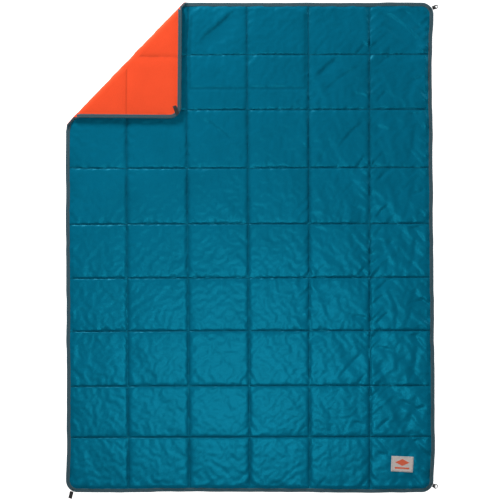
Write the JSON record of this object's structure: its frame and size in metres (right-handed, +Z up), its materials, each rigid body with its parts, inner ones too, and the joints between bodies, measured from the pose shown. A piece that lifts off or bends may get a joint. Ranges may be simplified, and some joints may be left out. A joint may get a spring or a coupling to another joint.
{
  "type": "camp blanket",
  "caption": "Quilted two-sided camp blanket with bound edges, webbing corner loops, a woven label and a flat stow pocket on the back.",
  "frame": {"origin": "on the floor under the middle of the box round the blanket and its loops", "axes": "+Z up through the face, +Y to the head edge, +X to the blanket's right side"},
  "size_m": [1.417, 1.8904, 0.0292],
  "materials": {
    "face_cloth": "plain-woven polyester with a satin sheen",
    "back_cloth": "plain-woven polyester with a satin sheen",
    "batting": "lofted polyester fibre",
    "quilting_thread": "matt spun thread",
    "binding_tape": "ribbed woven tape",
    "edge_thread": "matt spun thread",
    "back_thread": "matt spun thread",
    "webbing": "ribbed narrow webbing",
    "label": "fine damask weave"
  },
  "bodies": {
    "blanket": {"back_shell": "back_cloth", "batting": "batting", "crosswise_seam_1": "quilting_thread", "crosswise_seam_2": "quilting_thread", "crosswise_seam_3": "quilting_thread", "crosswise_seam_4": "quilting_thread", "crosswise_seam_5": "quilting_thread", "crosswise_seam_6": "quilting_thread", "edge_binding_head": "binding_tape", "edge_binding_left": "binding_tape", "face_shell": "face_cloth", "head_right_bartack": "edge_thread", "lengthwise_seam_1": "quilting_thread", "lengthwise_seam_2": "quilting_thread", "lengthwise_seam_3": "quilting_thread", "lengthwise_seam_4": "quilting_thread", "lengthwise_seam_5": "quilting_thread", "pocket_hem": "binding_tape", "pocket_panel": "back_cloth", "pocket_stitching": "back_thread", "topstitching_head": "edge_thread", "topstitching_left": "edge_thread"},
    "corner_flap": {"back_shell_flap": "back_cloth", "batting_flap": "batting", "crosswise_seam_1_flap": "quilting_thread", "edge_binding_flap": "binding_tape", "face_shell_flap": "face_cloth", "head_left_bartack": "edge_thread", "lengthwise_seam_1_flap": "quilting_thread", "topstitching_flap": "edge_thread"},
    "foot_third": {"back_shell_foot": "back_cloth", "batting_foot": "batting", "crosswise_seam_7_foot": "quilting_thread", "crosswise_seam_8_foot": "quilting_thread", "edge_binding_foot": "binding_tape", "face_shell_foot": "face_cloth", "foot_left_bartack": "edge_thread", "foot_right_bartack": "edge_thread", "label_stitching": "edge_thread", "lengthwise_seam_1_foot": "quilting_thread", "lengthwise_seam_2_foot": "quilting_thread", "lengthwise_seam_3_foot": "quilting_thread", "lengthwise_seam_4_foot": "quilting_thread", "lengthwise_seam_5_foot": "quilting_thread", "topstitching_foot": "edge_thread", "woven_label": "label"},
    "head_left_loop": {"head_left_loop": "webbing"},
    "head_right_loop": {"head_right_loop": "webbing"},
    "foot_left_loop": {"foot_left_loop": "webbing"},
    "foot_right_loop": {"foot_right_loop": "webbing"}
  },
  "joints": [
    {"name": "corner_fold", "type": "hinge", "parent": "blanket", "child": "corner_flap", "pos_m": [-0.70853, 0.50622, 0.0133], "axis": [-0.7103, -0.7039, 0], "range_deg": [0, 179.9]},
    {"name": "foot_fold", "type": "hinge", "parent": "blanket", "child": "foot_third", "pos_m": [-0.00853, -0.30125, 0.0143], "axis": [-1, 0, 0], "range_deg": [0, 179.9]},
    {"name": "head_left_loop_swing", "type": "hinge", "parent": "corner_flap", "child": "head_left_loop", "pos_m": [-0.28289, 0.51899, 0.0275], "axis": [0.9368, 0.3499, 0], "range_deg": [0, 179.9]},
    {"name": "head_right_loop_swing", "type": "hinge", "parent": "blanket", "child": "head_right_loop", "pos_m": [0.68203, 0.92331, 0.0038], "axis": [0.2588, -0.9659, 0], "range_deg": [0, 75]},
    {"name": "foot_left_loop_swing", "type": "hinge", "parent": "foot_third", "child": "foot_left_loop", "pos_m": [-0.68473, -0.9115, 0.0038], "axis": [-0.9703, 0.2419, 0], "range_deg": [0, 33]},
    {"name": "foot_right_loop_swing", "type": "hinge", "parent": "foot_third", "child": "foot_right_loop", "pos_m": [0.6852, -0.89203, 0.0038], "axis": [-0.342, -0.9397, 0], "range_deg": [0, 20]}
  ]
}
